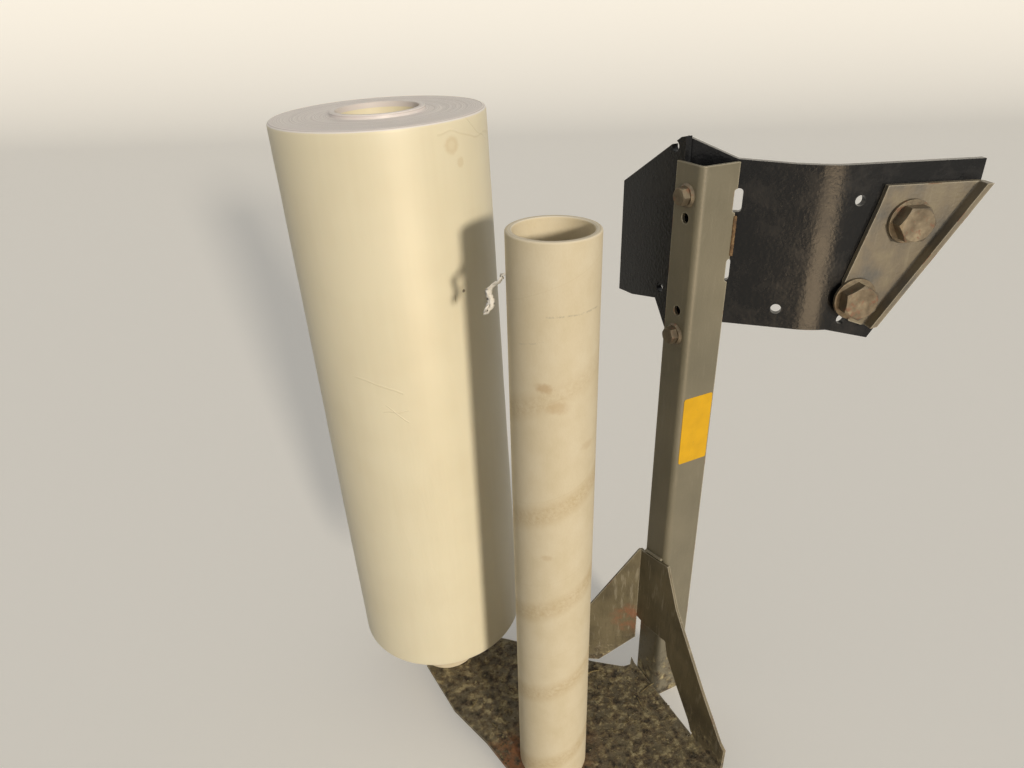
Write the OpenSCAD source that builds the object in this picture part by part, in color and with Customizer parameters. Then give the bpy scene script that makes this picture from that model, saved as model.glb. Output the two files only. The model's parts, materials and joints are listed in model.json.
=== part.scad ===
// Film-roll carrier of a round-bale wrapper: a folded sheet tray with a tall
// angle post and a bent bracket, bolted to the machine's frame. It stores one
// full roll of stretch film and the empty core of a used one, both upright.
// Millimetres. +X runs inboard, +Y rearward, +Z up. The origin lies on the axis
// of the upper frame bolt, half-way along its free shank.

/* [Film cores] */
// Outer diameter of a film core
core_od = 92; // [86:1:100]
// Wall thickness of a film core
core_wall = 7; // [4:0.5:9]
// Length of a film core
core_len = 760; // [600:5:800]
// Rounding of a core's rims
core_rim_r = 2; // [0.5:0.5:3]
// Distance of the empty core outboard of the post
core_out = 195; // [180:1:215]
// Distance of the empty core ahead of the post's face
core_fwd = 27; // [5:1:60]

/* [Film roll] */
// Outer diameter of the wound film
roll_d = 240; // [180:5:250]
// Width of the wound film
film_w = 748; // [500:2:760]
// Height of the film above its core's foot
film_rise = 93; // [60:1:110]
// Rounding of the film's edges
film_edge_r = 4; // [1:0.5:8]
// Height of the inner layers that stand out of the film's ends
film_ring_h = 4; // [1:0.5:8]
// Width of the ring of layers that stands out
film_ring_w = 7; // [4:0.5:12]
// Distance of the roll's foot outboard of the post
roll_out = 252; // [240:1:262]
// Distance of the roll's foot behind the post's face
roll_back = 221; // [214:1:226]
// Heading in which the roll leans, from inboard towards the rear
roll_lean_to = 177; // [170:1:184]

/* [Pegs] */
// Outer diameter of the peg in each core
peg_od = 66; // [50:0.5:69]
// Wall thickness of a peg
peg_wall = 4; // [2:0.5:6]
// Height of a peg
peg_h = 165; // [120:5:200]
// Chamfer round a peg's mouth
peg_chamfer = 2; // [0.5:0.5:3]

/* [Tray] */
// Sheet thickness of the tray
tray_t = 4; // [3:0.5:5]
// Inner radius of the tray's folds
fold_r = 5; // [3:0.5:8]
// Distance of the tray's front edge ahead of the post's face
tray_fwd = 158; // [140:1:180]
// Reach of the tray's base outboard of the roll's foot
tray_beside = 46; // [38:1:58]
// Reach of the tray's base behind the roll's foot
tray_behind = 63; // [57:1:75]
// Length of the fold between the base and the side wall
base_fold_len = 62; // [50:1:66]
// Distance of the rear fold behind the post's face
rear_fold_y = 49.4; // [48:0.2:54]
// Heading of the rear wall, from inboard towards the rear
rear_wall_to = 147.7; // [144:0.1:151]
// Height of the side wall's front corner
side_front_h = 46; // [38:1:52]
// Height of the rear fold's top
rear_fold_top = 236; // [225:1:245]
// Height of the side wall's peak, on the post, above the rear fold's top
side_peak_rise = 14; // [10:1:24]
// Height of the rear fold's foot, above the relief cut-out
rear_fold_foot = 105; // [98:1:112]
// Length of the rear wall along its foot line
rear_wall_len = 145; // [135:1:155]

/* [Post] */
// Leg of the post that lies fore-and-aft
post_web = 43; // [38:0.5:44]
// Leg of the post that faces forward
post_flange = 51; // [44:0.5:60]
// Sheet thickness of the post
post_t = 4; // [3:0.5:5]
// Outer radius of the post's fold
post_r = 8; // [6:0.5:12]
// Height of the post above the tray
post_top = 788; // [780:1:800]
// Reach of the post below the tray's upper face
post_foot = 28; // [15:1:40]
// Distance of the post's bolts behind its face
post_bolt_y = 22; // [20:0.5:25]
// Heights of the two post bolts
post_bolt_z = [589, 754];
// Heights of the two free holes between them
post_hole_z = [619, 729];

/* [Bracket] */
// Thickness of the gusset and of the front plate
bracket_t = 8; // [6:0.5:10]
// Height of the bracket's peak above the post
bracket_peak = 812; // [806:1:820]
// Height of the front plate's straight top edge
bracket_top = 787; // [780:1:795]
// Height of the front plate's lower edge
bracket_foot = 600; // [595:1:608]
// Angle of the front plate's outboard part
wing_angle = 45; // [43:0.5:47]
// Length of the outboard part, from the post to the bend
wing_len = 101; // [94:1:108]
// Angle of the front plate's inboard part
face_angle = 20; // [18:0.5:22]
// Outer radius of the bend between the two parts
bend_r = 85; // [60:1:100]
// Length of the inboard part along its top edge
face_len = 164; // [156:1:176]
// Reach of the gusset behind the post's face
gusset_back = 147; // [135:1:160]
// Thickness of the clamped strap plate
strap_t = 6; // [4:0.5:8]
// Depth of the strap plate's turned-up edge
strap_lip = 14; // [8:1:20]

/* [Bolts] */
// Diameter of the two frame bolts
frame_bolt_d = 24; // [20:0.5:26]
// Diameter over the threads of their free shanks
frame_thread_d = 23.7; // [19:0.1:23.8]
// Free shank of a frame bolt behind the bracket
frame_free = 48; // [35:1:60]
// Washer of a frame bolt
frame_washer_d = 48; // [42:1:52]
// Thickness of that washer
frame_washer_t = 4; // [3:0.5:5]
// Width across flats of a frame bolt's head
frame_head_af = 36; // [32:1:38]
// Height of that head
frame_head_h = 15; // [12:0.5:17]
// Distance of the upper frame bolt from the bend, along the plate
frame_up_s = 87; // [82:1:92]
// Height of the upper frame bolt
frame_up_z = 726; // [720:1:732]
// Distance of the lower frame bolt from the bend, along the plate
frame_low_s = 42; // [40:1:46]
// Height of the lower frame bolt
frame_low_z = 640; // [636:1:646]
// Diameter of the two post bolts
post_bolt_d = 12; // [10:0.5:14]
// Diameter of a post bolt's flange
post_bolt_flange = 27; // [24:0.5:30]
// Width across flats of a post bolt's head and nut
post_bolt_af = 18; // [16:0.5:20]

/* [Hidden] */
$fn = 96;
bolt_play = 0.5;        // radial clearance of a bolt in its hole
weld_gap = 0.3;         // gap between plates that a weld bridges
stand_gap = 0.3;        // gap under what stands loose on the tray
lean_gap = 1.2;         // gap between the leaning core and its peg
wind_gap = 0.1;         // between the film and its core
lap = 0.3;              // length by which a flat runs into its bend
relief = 2;             // slot between the end of a fold and the free edge
free_hole_d = 12;       // free holes of the bracket and the post

core_id = core_od - 2 * core_wall;
side_peak_h = rear_fold_top + side_peak_rise;
tray_reach = roll_out + tray_beside;
tray_back = roll_back + tray_behind;

// The roll leans as far as its core's play on the peg allows.
roll_lean = atan(((core_id - peg_od) / 2 - lean_gap) / peg_h);
core_at = [-core_out, -core_fwd, 0];
roll_at = [-roll_out, roll_back, 0];

// Places along the front plate, seen from above. The wing starts at the corner
// of the post's flange and runs forward and inboard to the bend.
wing_at = [post_flange, post_t] + weld_gap * [cos(wing_angle), cos(wing_angle)];
wing_dir = [cos(wing_angle), -sin(wing_angle)];
bend_at = wing_at + wing_len * wing_dir;
face_dir = [cos(face_angle), -sin(face_angle)];
face_back = [sin(face_angle), cos(face_angle)];
bend_angle = wing_angle - face_angle;
bend_run = bend_r * tan(bend_angle / 2);
gusset_x = post_t;
wing_start = -(wing_at[0] - gusset_x - bracket_t) / wing_dir[0];

// Grip of a frame bolt, from under its head to the bracket's rear face.
grip = frame_washer_t + strap_t + bracket_t;
mount_plan = bend_at + frame_up_s * face_dir + (bracket_t + frame_free / 2) * face_back;
mount_at = [mount_plan[0], mount_plan[1], frame_up_z];

STEEL = [0.27, 0.25, 0.20];
DARK = [0.17, 0.17, 0.17];
ZINC = [0.60, 0.55, 0.45];
CARD = [0.88, 0.80, 0.64];
FILM = [0.93, 0.89, 0.78];
RUST = [0.45, 0.27, 0.15];

// Moves what is drawn round the post's outer corner to the part's own origin.
module placed() {
    translate(-mount_at) children();
}

// A flat outline in (along, up), stood up along a heading and given thickness
// towards its left-hand side.
module upright(at, heading, thickness, side = 1) {
    translate([at[0], at[1], 0]) rotate([0, 0, heading])
        translate([0, thickness * (1 + side) / 2, 0]) rotate([90, 0, 0])
            linear_extrude(thickness) children();
}

// A flat outline in (rearward, up), given thickness inboard from x.
module lengthwise(x, thickness) {
    translate([x, 0, 0]) rotate([90, 0, 90]) linear_extrude(thickness) children();
}

// Section of a folded angle: one leg along x, one along y, its outer corner at
// the origin and round.
module angle_section(leg_x, leg_y, thickness, r) {
    translate([r, 0]) square([leg_x - r, thickness]);
    translate([0, r]) square([thickness, leg_y - r]);
    fold_section(thickness, r);
}

// Section of a quarter-turn fold, its outer corner towards the origin.
module fold_section(thickness, r) {
    intersection() {
        square(r);
        translate([r, r]) difference() {
            circle(r);
            circle(r - thickness);
        }
    }
}

// A rectangle with round corners, centred.
module round_rect(w, h, r) {
    square([w - 2 * r, h], center = true);
    square([w, h - 2 * r], center = true);
    for (x = [-1, 1], y = [-1, 1]) translate([x * (w / 2 - r), y * (h / 2 - r)]) circle(r);
}

// A hexagon prism with chamfered far corners, for bolt heads and nuts.
module hex_prism(af, h) {
    intersection() {
        cylinder(d = af / cos(30), h = h, $fn = 6);
        union() {
            cylinder(d = af / cos(30) + 1, h = h * 0.8);
            translate([0, 0, h * 0.8])
                cylinder(d1 = af / cos(30) + 1, d2 = af * 0.96, h = h * 0.2);
        }
    }
}

// One folded sheet: base, side wall along the post and rear wall behind the
// empty core, with a relief cut-out where the three meet.
module tray_sheet() {
    front = -tray_fwd;
    fold_end = front + base_fold_len;
    inner = -tray_t - fold_r;
    turn = rear_wall_to - 90;
    mitre = tray_t * tan(turn / 2);
    strip_end = [-tray_t, rear_fold_y] + (rear_wall_len + 2) * [-sin(turn), cos(turn)];
    // Rear and outboard edges of the base, in shares of its reach
    edge = [
        [0.195, 0.292], [0.527, 0.658], [0.758, 0.887], [0.826, 0.986], [0.96, 1],
        [1, 0.711], [0.977, 0.363], [0.909, 0.113], [0.879, -0.07]];
    color(STEEL) placed() {
        // Base
        translate([0, 0, -tray_t]) linear_extrude(tray_t) polygon(concat(
            [[inner, front], [inner, fold_end + relief], [-3, fold_end + relief],
                [-1, rear_fold_y], [2, rear_fold_y + 12.6], [inner, rear_fold_y + 0.6],
                [-21, rear_fold_y + 2.6]],
            [for (e = edge) [-e[0] * tray_reach, e[1] * tray_back]],
            [[-0.832 * tray_reach, front]]));
        // Fold between base and side wall
        translate([0, fold_end, -tray_t]) rotate([90, 0, 0])
            linear_extrude(base_fold_len) mirror([1, 0])
                fold_section(tray_t, fold_r + tray_t);
        // Side wall and rear wall: one strip folded in plan, cut to two outlines
        intersection() {
            translate([0, 0, fold_r]) linear_extrude(side_peak_h) polygon([
                [-tray_t, front], [0, front], [0, rear_fold_y + mitre],
                strip_end + tray_t * [cos(turn), sin(turn)], strip_end,
                [-tray_t, rear_fold_y]]);
            union() {
                lengthwise(-tray_t - 0.7, tray_t + 2) polygon([
                    [front - 1, 0], [fold_end, 0], [fold_end + 11, 0.2 * rear_fold_foot],
                    [0.34 * front, 0.56 * rear_fold_foot], [0.17 * front, 0.9 * rear_fold_foot],
                    [0.13 * front, 1.11 * rear_fold_foot], [0.55 * rear_fold_y, rear_fold_foot],
                    [rear_fold_y + 3, rear_fold_foot], [rear_fold_y + 3, rear_fold_top],
                    [rear_fold_y - 4, rear_fold_top], [-10, side_peak_h],
                    [0.23 * front, 0.77 * side_peak_h], [0.44 * front, 0.59 * side_peak_h],
                    [0.65 * front, 0.41 * side_peak_h], [front + 9, side_front_h],
                    [front, side_front_h - 6], [front - 1, side_front_h - 7]]);
                upright([-tray_t, rear_fold_y], rear_wall_to, 4 * tray_t, 0) polygon([
                    [-0.3, 0.57 * rear_fold_foot], [0.41 * rear_wall_len, 0],
                    [rear_wall_len, 0], [3, rear_fold_top - 0.5],
                    [-0.3, rear_fold_top - 0.5]]);
            }
        }
    }
}

// Tall folded angle, open to the rear and inboard.
module post() {
    z0 = -post_foot;
    color(STEEL) placed() difference() {
        translate([0, 0, z0]) linear_extrude(post_top - z0)
            angle_section(post_flange, post_web, post_t, post_r);
        for (z = post_bolt_z) cross_hole(z, post_bolt_d + 2 * bolt_play, -1, post_t + 2);
        for (z = post_hole_z) cross_hole(z, free_hole_d, -1, post_t + 2);
        for (w = wing_windows()) translate([post_flange, post_t / 2, w[0]])
            rotate([90, 0, 0]) translate([0, 0, -post_t])
                linear_extrude(2 * post_t) round_rect(8, w[1], 3);
    }
}

// A round hole through the web and the gusset behind it.
module cross_hole(z, d, x, len) {
    translate([x, post_bolt_y, z]) rotate([0, 90, 0]) cylinder(d = d, h = len);
}

// Height, length and reach of the two windows beside the post.
function wing_windows() = [[bracket_top - 41, 26, 9], [bracket_top - 121, 27, 4]];

// Seam along the side wall's slanted top, on the post's web.
module tray_weld() {
    slope = (side_peak_h - rear_fold_top) / (rear_fold_y + 10);
    run = post_web - post_r - 2;
    leg = tray_t * 0.9;
    color(STEEL) placed()
        translate([0, post_r, side_peak_h - slope * (post_r + 10)])
            rotate([-atan(slope), 0, 0]) rotate([-90, 0, 0])
                linear_extrude(run) polygon([[0, 0], [-leg, 0], [0, -leg]]);
}

// Plate behind the post's web, reaching rearward.
module gusset_plate() {
    color(DARK) placed() difference() {
        lengthwise(gusset_x, bracket_t) polygon([
            [post_r, bracket_foot - 20], [post_web, bracket_foot - 20],
            [0.48 * gusset_back, bracket_foot + 18], [0.8 * gusset_back, bracket_foot + 7],
            [gusset_back, bracket_foot + 5], [gusset_back, bracket_peak - 66],
            [post_web + 1, bracket_peak], [post_web - 7, bracket_peak + 2],
            [post_web - 7, bracket_top - 2], [post_r, bracket_top - 2]]);
        for (z = post_bolt_z)
            cross_hole(z, post_bolt_d + 2 * bolt_play, gusset_x - 1, bracket_t + 2);
        for (z = post_hole_z) cross_hole(z, free_hole_d, gusset_x - 1, bracket_t + 2);
        for (h = [[post_web + 10, bracket_peak - 11], [post_web + 20, bracket_foot + 34]])
            translate([gusset_x - 1, h[0], h[1]]) rotate([0, 90, 0])
                cylinder(d = free_hole_d, h = bracket_t + 2);
    }
}

// A hole through the front plate, across its thickness.
module plate_hole(s, z, d, at, heading) {
    translate([at[0], at[1], 0]) rotate([0, 0, heading])
        translate([s, -1, z]) rotate([-90, 0, 0]) cylinder(d = d, h = bracket_t + 2);
}

// Front plate: a wing that runs inboard past the post, a wide bend, and a face
// that carries the two frame bolts.
module front_plate() {
    color(DARK) placed() {
        difference() {
            upright(wing_at, -wing_angle, bracket_t) polygon([
                [wing_start, bracket_foot + 30], [0, bracket_foot],
                [wing_len - bend_run + lap, bracket_foot],
                [wing_len - bend_run + lap, bracket_top],
                [60, bracket_top], [0, bracket_top + 3], [wing_start, bracket_peak]]);
            for (w = wing_windows()) translate([wing_at[0], wing_at[1], w[0]])
                rotate([0, 0, -wing_angle]) translate([w[2] / 2 - 8, bracket_t + 1, 0])
                    rotate([90, 0, 0]) linear_extrude(bracket_t + 2)
                        round_rect(w[2] + 16, w[1], 4);
            plate_hole(0.6 * wing_len, bracket_foot + 23, free_hole_d, wing_at, -wing_angle);
        }
        // Bend, on a centre behind the plate
        translate([bend_at[0], bend_at[1], bracket_foot]) rotate([0, 0, -wing_angle])
            translate([-bend_run, bend_r, 0]) rotate([0, 0, -90])
                rotate_extrude(angle = bend_angle, $fn = 180)
                    translate([bend_r - bracket_t, 0])
                        square([bracket_t, bracket_top - bracket_foot]);
        difference() {
            upright(bend_at, -face_angle, bracket_t) polygon([
                [bend_run - lap, bracket_foot], [0.44 * face_len, bracket_foot - 14],
                [face_len, bracket_top - 39], [face_len, bracket_top],
                [bend_run - lap, bracket_top]]);
            plate_hole(0.19 * face_len, bracket_top - 38, free_hole_d, bend_at, -face_angle);
            plate_hole(0.22 * face_len, bracket_foot + 12, free_hole_d, bend_at, -face_angle);
            plate_hole(frame_up_s, frame_up_z, frame_bolt_d + 2 * bolt_play, bend_at, -face_angle);
            plate_hole(frame_low_s, frame_low_z, frame_bolt_d + 2 * bolt_play, bend_at, -face_angle);
        }
    }
}

// Bead in the corner between the post's flange and the wing.
module bracket_weld() {
    z0 = wing_windows()[1][0] + wing_windows()[1][1] / 2 + 3;
    z1 = wing_windows()[0][0] - wing_windows()[0][1] / 2 - 3;
    sum = wing_at[0] + wing_at[1];
    color(RUST) placed() translate([0, 0, z0]) linear_extrude(z1 - z0) polygon([
        [post_flange, sum - post_flange - 0.05], [post_flange, 0.5],
        [sum + 2, -2 - 0.05]]);
}

// Strap plate under the frame bolts' washers, with its inboard edge turned
// towards the front.
module strap_plate() {
    up = [frame_up_s, frame_up_z];
    low = [frame_low_s, frame_low_z];
    lip_low = low + [27, -32];
    lip_high = up + [66, 20];
    lip_len = norm(lip_high - lip_low);
    lip_tilt = atan2(lip_high[1] - lip_low[1], lip_high[0] - lip_low[0]);
    at = bend_at - strap_t * face_back;
    color(STEEL) placed() difference() {
        intersection() {
            translate([at[0], at[1], 0]) rotate([0, 0, -face_angle])
                translate([lip_low[0], strap_t, lip_low[1]]) rotate([0, -lip_tilt, 0])
                    rotate([0, 90, 0]) translate([0, 0, -60]) linear_extrude(lip_len + 120)
                        rotate(180) angle_section(110, strap_lip + strap_t, strap_t, strap_t + 2);
            upright(at - 2 * strap_lip * face_back, -face_angle, 3 * strap_lip) polygon([
                low + [-12, -4], low + [-14, 20], up + [-36, 17], up + [-31, 39],
                up + [81, 39], lip_high, lip_high + [6, -4], lip_low + [6, -4], lip_low,
                low + [16, -34], low + [0, -28]]);
        }
        for (b = [up, low])
            translate([at[0], at[1], 0]) rotate([0, 0, -face_angle])
                translate([b[0], -1, b[1]]) rotate([-90, 0, 0])
                    cylinder(d = frame_bolt_d + 2 * bolt_play, h = strap_t + 2);
    }
}

// Puts a part on a frame bolt's axis: z = 0 under the head, running rearward.
module on_frame_bolt(s, z) {
    at = bend_at + s * face_dir - (strap_t + frame_washer_t) * face_back;
    placed() translate([at[0], at[1], z]) rotate([0, 0, -face_angle])
        rotate([-90, 0, 0]) children();
}

// Hexagon bolt whose threaded shank goes on into the machine's frame.
module frame_bolt(s, z) {
    color(ZINC) on_frame_bolt(s, z) {
        translate([0, 0, -frame_head_h]) mirror([0, 0, 1]) translate([0, 0, -frame_head_h])
            hex_prism(frame_head_af, frame_head_h);
        cylinder(d = frame_bolt_d, h = grip);
        translate([0, 0, grip]) cylinder(d = frame_thread_d, h = frame_free);
        translate([0, 0, grip + frame_free])
            cylinder(d1 = frame_thread_d, d2 = frame_thread_d - 5, h = 2.5);
    }
}

module frame_washer(s, z) {
    color(ZINC) on_frame_bolt(s, z) difference() {
        cylinder(d = frame_washer_d, h = frame_washer_t);
        translate([0, 0, -1]) cylinder(d = frame_bolt_d + 1, h = frame_washer_t + 2);
    }
}

// Flange bolt through the post's web and the gusset, head outboard.
module post_bolt(z) {
    color(ZINC) placed() translate([0, post_bolt_y, z]) rotate([0, 90, 0]) {
        translate([0, 0, -3]) cylinder(d1 = post_bolt_flange - 3, d2 = post_bolt_flange, h = 3);
        mirror([0, 0, 1]) hex_prism(post_bolt_af, post_bolt_d);
        cylinder(d = post_bolt_d, h = post_t + bracket_t + 16);
    }
}

module post_nut(z) {
    color(ZINC) placed() translate([post_t + bracket_t, post_bolt_y, z])
        rotate([0, 90, 0]) difference() {
            hex_prism(post_bolt_af, post_bolt_d * 0.85);
            translate([0, 0, -1]) cylinder(d = post_bolt_d + 0.2, h = post_bolt_d + 2);
        }
}

// Tube welded upright on the tray, which keeps a core in its place.
module peg(at) {
    color(STEEL) placed() translate(at) rotate_extrude() polygon([
        [peg_od / 2 - peg_wall, 0], [peg_od / 2, 0], [peg_od / 2, peg_h - peg_chamfer],
        [peg_od / 2 - peg_chamfer, peg_h], [peg_od / 2 - peg_wall, peg_h]]);
}

// Thick paperboard tube with rounded rims, standing on z = 0.
module film_core() {
    r = core_rim_r;
    color(CARD) rotate_extrude() {
        translate([core_id / 2, r]) square([core_wall, core_len - 2 * r]);
        translate([core_id / 2 + r, 0]) square([core_wall - 2 * r, core_len]);
        for (x = [core_id / 2 + r, core_od / 2 - r], z = [r, core_len - r])
            translate([x, z]) circle(r, $fn = 32);
    }
}

// Stands a thing at the roll's place with the roll's lean, its outboard rim
// just clear of the tray.
module leaning() {
    placed() translate(roll_at) translate([0, 0, stand_gap + core_od / 2 * sin(roll_lean)])
        rotate([0, 0, roll_lean_to]) rotate([0, roll_lean, 0]) children();
}

// Stretch film wound on the core, with inner layers that stand out at each end.
module film_winding() {
    bore = core_od / 2 + wind_gap;
    r = film_edge_r;
    color(FILM) leaning() translate([0, 0, film_rise]) rotate_extrude($fn = 180) {
        translate([bore, 0]) square([roll_d / 2 - r - bore, film_w]);
        translate([roll_d / 2 - r - 1, r]) square([r + 1, film_w - 2 * r]);
        for (z = [r, film_w - r]) translate([roll_d / 2 - r, z]) circle(r, $fn = 32);
        translate([bore, -film_ring_h]) square([film_ring_w, film_w + 2 * film_ring_h]);
    }
}

tray_sheet();
post();
tray_weld();
gusset_plate();
front_plate();
bracket_weld();
strap_plate();
frame_bolt(frame_up_s, frame_up_z);  // upper_frame_bolt
frame_bolt(frame_low_s, frame_low_z);  // lower_frame_bolt
frame_washer(frame_up_s, frame_up_z);  // upper_frame_washer
frame_washer(frame_low_s, frame_low_z);  // lower_frame_washer
post_bolt(post_bolt_z[1]);  // upper_post_bolt
post_bolt(post_bolt_z[0]);  // lower_post_bolt
post_nut(post_bolt_z[1]);  // upper_post_nut
post_nut(post_bolt_z[0]);  // lower_post_nut
peg(roll_at);  // roll_peg
peg(core_at);  // core_peg
leaning() film_core();  // roll_core
film_winding();
placed() translate(core_at + [0, 0, stand_gap]) film_core();  // empty_core
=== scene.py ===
import json
import random
from math import cos, pi, radians, sin, tan

import bmesh
import bpy
from mathutils import Matrix, Vector


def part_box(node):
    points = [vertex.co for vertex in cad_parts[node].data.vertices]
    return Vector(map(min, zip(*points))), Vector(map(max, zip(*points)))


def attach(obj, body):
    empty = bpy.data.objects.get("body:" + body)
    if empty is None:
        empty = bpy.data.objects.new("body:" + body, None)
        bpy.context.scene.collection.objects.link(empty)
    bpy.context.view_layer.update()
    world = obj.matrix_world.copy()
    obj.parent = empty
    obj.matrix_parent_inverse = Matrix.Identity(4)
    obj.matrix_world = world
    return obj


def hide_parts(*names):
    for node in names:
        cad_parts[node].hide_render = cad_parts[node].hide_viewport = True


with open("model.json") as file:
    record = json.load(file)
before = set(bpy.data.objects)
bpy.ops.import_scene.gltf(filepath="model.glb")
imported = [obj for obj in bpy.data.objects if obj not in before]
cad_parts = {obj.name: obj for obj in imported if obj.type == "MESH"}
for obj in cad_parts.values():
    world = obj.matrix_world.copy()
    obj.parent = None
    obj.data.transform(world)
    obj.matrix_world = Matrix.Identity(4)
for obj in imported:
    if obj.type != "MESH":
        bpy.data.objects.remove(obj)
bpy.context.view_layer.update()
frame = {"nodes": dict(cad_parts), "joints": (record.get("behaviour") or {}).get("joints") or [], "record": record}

# Camera
# It stands outboard of the carrier and ahead of it, a little above the tops of
# the film cores, and looks down at the tray.
CAMERA_AT = (-0.7413, -0.5411, 0.2291)
CAMERA_SENSOR = 36  # mm
CAMERA_LENS = 25.714  # mm
CAMERA_REACH = 100  # metres
CAMERA_HEADING = radians(26.0)  # from the rear towards inboard
CAMERA_DOWN = radians(28.236)
CAMERA_ROLL = radians(1.648)

camera = bpy.data.objects.new("camera", bpy.data.cameras.new("camera"))
bpy.context.scene.collection.objects.link(camera)
camera.data.sensor_width = CAMERA_SENSOR
camera.data.lens = CAMERA_LENS
camera.data.clip_end = CAMERA_REACH
camera.matrix_world = (
    Matrix.Translation(CAMERA_AT)
    @ Matrix.Rotation(-CAMERA_HEADING, 4, "Z")
    @ Matrix.Rotation(pi / 2 - CAMERA_DOWN, 4, "X")
    @ Matrix.Rotation(-CAMERA_ROLL, 4, "Z"))
bpy.context.scene.camera = camera

# Studio
# A pale sheet that rises behind the carrier in one wide curve, a low sun from
# ahead of the carrier, an even white surround, and a small soft box for the gloss.
FLOOR_COLOUR = "F4F2ED"
FLOOR_BOUNCE = "8E8C87"  # for the light that it throws back
FLOOR_LIFT = 0.17  # added where it is seen
FLOOR_AHEAD = 9.0
FLOOR_HALF_WIDE = 12.0
WALL_BACK = 5.0
WALL_CURVE = 3.5
WALL_TOP = 7.0
SUN_STRENGTH = 2.4
SUN_SPREAD = radians(6)
SUN_COLOUR = "FFF4E2"
SUN_GOES = Vector((0.05, 0.95, -0.225))
SOFT_BOX_POWER = 8.5  # watts, for reflections alone
SOFT_BOX_COLOUR = "FFDFB4"
SOFT_BOX_SIDE = 0.60
SOFT_BOX_AT = Vector((-0.465, -1.12, -0.43))
SOFT_BOX_AIM = Vector((-0.05, 0.05, -0.05))
SURROUND_COLOUR = "FFFCF6"
SURROUND_LIGHT = 0.30  # strength with which it lights
SURROUND_SEEN = 0.82  # strength at which it is seen


def linear(code):
    """Turns an sRGB hex colour into the linear one that the nodes take."""
    parts = [int(code[i:i + 2], 16) / 255 for i in (0, 2, 4)]
    return tuple(c / 12.92 if c <= 0.04045 else ((c + 0.055) / 1.055) ** 2.4 for c in parts) + (1.0,)


def feed(node, sockets):
    """Sets sockets, by name or in order. A node as a value gives its first live output."""
    for key, value in sockets.items() if isinstance(sockets, dict) else enumerate(sockets):
        if isinstance(value, bpy.types.Node):
            value = next(end for end in value.outputs if end.enabled)
        if isinstance(value, bpy.types.NodeSocket):
            node.id_data.links.new(value, node.inputs[key])
        else:
            node.inputs[key].default_value = value


def add(tree, kind, sockets=(), operation=None, **settings):
    """Adds a node by the last part of its type's name, and sets or links its sockets."""
    family = next(f for f in ("Shader", "Geometry", "Function", "")
                  if hasattr(bpy.types, f + "Node" + kind))
    node = tree.nodes.new(family + "Node" + kind)
    if operation is not None:
        node.operation = operation
    for name, value in settings.items():
        if name == "stops":
            ramp = node.color_ramp
            while len(ramp.elements) < len(value[0]):
                ramp.elements.new(0.5)
            for element, position, colour in zip(ramp.elements, *value):
                element.position = position
                element.color = linear(colour)
        else:
            setattr(node, name, value)
    feed(node, sockets)
    return node


def coat(name):
    """A new material: gives it, its node tree, its shader and a point's place."""
    made = bpy.data.materials.new(name)
    made.use_nodes = True
    tree = made.node_tree
    return made, tree, tree.nodes["Principled BSDF"], add(tree, "TexCoord").outputs["Object"]


def place(name, mesh, finish=None):
    """Puts a mesh in the scene as a piece, with one finish."""
    piece = bpy.data.objects.new(name, mesh)
    bpy.context.scene.collection.objects.link(piece)
    if finish is not None:
        mesh.materials.clear()
        mesh.materials.append(finish)
    return piece


def poured(work, name):
    """Makes a mesh of a bmesh, and frees that."""
    mesh = bpy.data.meshes.new(name)
    work.to_mesh(mesh)
    work.free()
    return mesh


def lamp(name, kind, power, colour, goes):
    """Adds a lamp whose light goes in a direction."""
    made = bpy.data.objects.new(name, bpy.data.lights.new(name, kind))
    bpy.context.scene.collection.objects.link(made)
    made.data.energy = power
    made.data.color = linear(colour)[:3]
    made.rotation_euler = goes.to_track_quat("-Z", "Y").to_euler()
    return made


def shown(tree):
    """1 on rays that show the backdrop: straight, in a gloss or through a film."""
    rays = add(tree, "LightPath").outputs
    plain = add(tree, "Math", (rays["Is Camera Ray"], rays["Is Glossy Ray"]), "MAXIMUM")
    return add(tree, "Math", (plain, rays["Is Transmission Ray"]), "MAXIMUM")


ground = min(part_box(node)[0].z for node in frame["nodes"])
curve = [(WALL_BACK + WALL_CURVE * sin(radians(a)),
          WALL_CURVE - WALL_CURVE * cos(radians(a))) for a in range(0, 91, 6)]
rows = [(-FLOOR_AHEAD, 0.0), (0.0, 0.0)] + curve + [(WALL_BACK + WALL_CURVE, WALL_TOP)]
turn = Matrix.Rotation(-CAMERA_HEADING, 3, "Z")
sheet = bmesh.new()
lines = [[sheet.verts.new(turn @ Vector((x, y, z)) + Vector((0, 0, ground)))
          for x in (-FLOOR_HALF_WIDE, FLOOR_HALF_WIDE)] for y, z in rows]
for low, high in zip(lines, lines[1:]):
    sheet.faces.new((low[0], low[1], high[1], high[0])).smooth = True

# The paper is matt, and it shows paler than it lights, so it adds no glare.
paper, tree, shader, _ = coat("matt studio paper")
seen = shown(tree)
feed(shader, {
    "Base Color": add(tree, "Mix", {
        0: seen, 6: linear(FLOOR_BOUNCE), 7: linear(FLOOR_COLOUR)}, data_type="RGBA"),
    "Emission Color": linear(FLOOR_COLOUR),
    "Emission Strength": add(tree, "Math", (seen, FLOOR_LIFT), "MULTIPLY"),
    "Roughness": 0.9,
    "Specular IOR Level": 0.05})
place("studio_sheet", poured(sheet, "studio_sheet"), paper)

sun = lamp("sun", "SUN", SUN_STRENGTH, SUN_COLOUR, SUN_GOES)
sun.data.angle = SUN_SPREAD
soft_box = lamp("soft box", "AREA", SOFT_BOX_POWER, SOFT_BOX_COLOUR, SOFT_BOX_AIM - SOFT_BOX_AT)
soft_box.location = SOFT_BOX_AT
soft_box.data.size = SOFT_BOX_SIDE
soft_box.visible_camera = False
soft_box.visible_diffuse = False

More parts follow.
